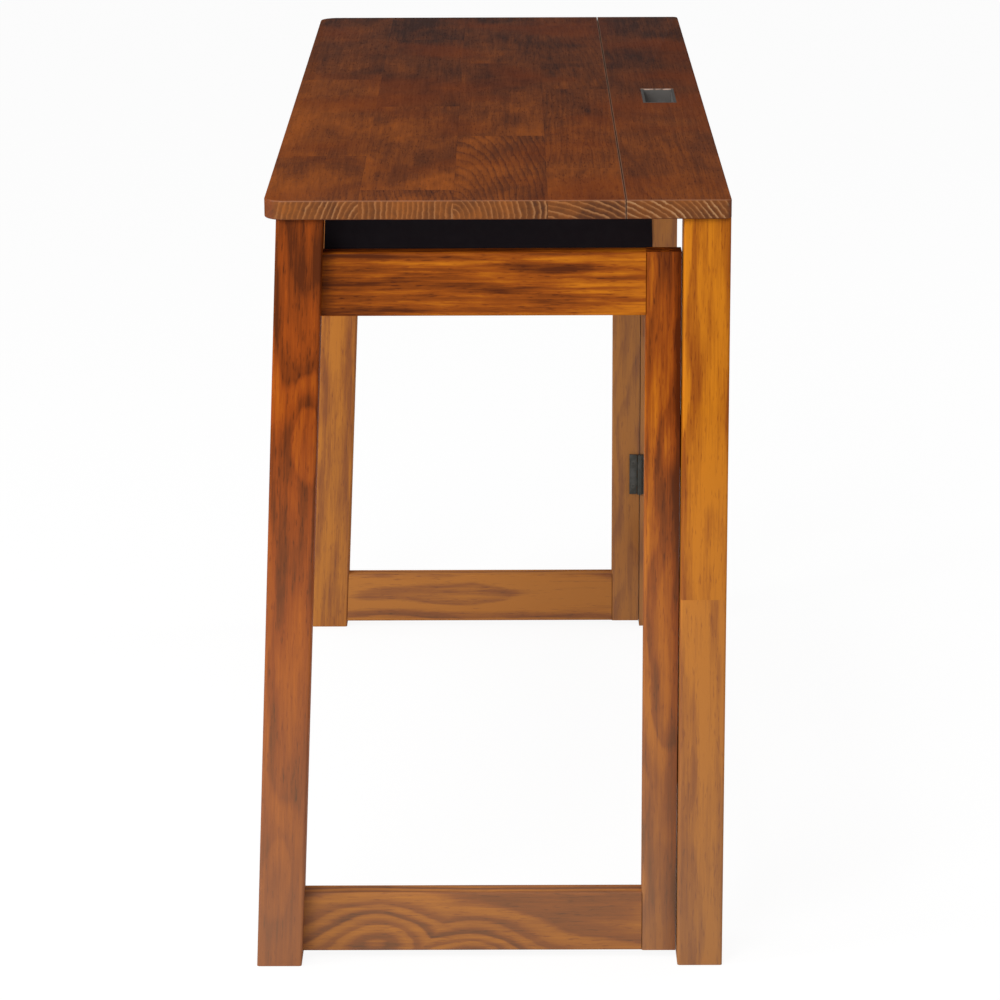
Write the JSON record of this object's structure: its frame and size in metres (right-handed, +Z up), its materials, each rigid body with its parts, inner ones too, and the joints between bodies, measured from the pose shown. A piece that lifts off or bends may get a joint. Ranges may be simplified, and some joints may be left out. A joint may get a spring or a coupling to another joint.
{
  "type": "folding wall desk",
  "caption": "Narrow folding desk: a hinged front leaf and a fixed rear strip with a cable opening, on open wooden wing frames that swing in under the top.",
  "frame": {"origin": "middle of the bounding box on the floor", "axes": "+X along the length of the top, to the right for someone who sits at the desk; -Y the front edge, where the sitter is; +Y the rear strip and posts; +Z up"},
  "size_m": [1.15, 0.448, 0.75],
  "materials": {
    "top_pine": "dark red-brown stain, semi-gloss lacquer",
    "frame_pine": "honey-brown stain, semi-gloss lacquer",
    "black_board": "black painted board, matt",
    "liner_metal": "dark grey, satin",
    "hinge_steel": "charcoal, satin",
    "screw_steel": "charcoal, satin",
    "pin_steel": "plain",
    "dowel_beech": "raw"
  },
  "bodies": {
    "frame": {"rear_strip": "top_pine", "port_liner": "liner_metal", "right_post": "frame_pine", "left_post": "frame_pine", "rear_top_rail": "frame_pine", "rear_bottom_rail": "frame_pine", "right_upper_post_hinge": "hinge_steel", "right_upper_pin": "pin_steel", "right_lower_post_hinge": "hinge_steel", "right_lower_pin": "pin_steel", "left_upper_post_hinge": "hinge_steel", "left_upper_pin": "pin_steel", "left_lower_post_hinge": "hinge_steel", "left_lower_pin": "pin_steel", "right_seam_strip_hinge": "hinge_steel", "right_seam_pin": "pin_steel", "middle_seam_strip_hinge": "hinge_steel", "middle_seam_pin": "pin_steel", "left_seam_strip_hinge": "hinge_steel", "left_seam_pin": "pin_steel", "frame_screws": "screw_steel", "frame_dowels": "dowel_beech"},
    "leaf": {"leaf": "top_pine", "right_seam_leaf_hinge": "hinge_steel", "middle_seam_leaf_hinge": "hinge_steel", "left_seam_leaf_hinge": "hinge_steel", "leaf_screws": "screw_steel"},
    "right_wing": {"right_leg": "frame_pine", "right_upright": "frame_pine", "right_top_rail": "frame_pine", "right_bottom_rail": "frame_pine", "right_panel": "black_board", "right_upper_wing_hinge": "hinge_steel", "right_lower_wing_hinge": "hinge_steel", "right_wing_screws": "screw_steel", "right_wing_dowels": "dowel_beech"},
    "left_wing": {"left_leg": "frame_pine", "left_upright": "frame_pine", "left_top_rail": "frame_pine", "left_bottom_rail": "frame_pine", "left_panel": "black_board", "left_upper_wing_hinge": "hinge_steel", "left_lower_wing_hinge": "hinge_steel", "left_wing_screws": "screw_steel", "left_wing_dowels": "dowel_beech"}
  },
  "joints": [
    {"name": "right_wing_swing", "type": "hinge", "parent": "frame", "child": "right_wing", "pos_m": [0.5229, 0.1805, 0.352], "axis": [0, 0, -1], "range_deg": [0, 90]},
    {"name": "left_wing_swing", "type": "hinge", "parent": "frame", "child": "left_wing", "pos_m": [-0.5229, 0.1805, 0.352], "axis": [0, 0, 1], "range_deg": [0, 90]},
    {"name": "leaf_lift", "type": "hinge", "parent": "frame", "child": "leaf", "pos_m": [0, 0.1276, 0.7289], "axis": [-1, 0, 0], "range_deg": [0, 2]}
  ]
}
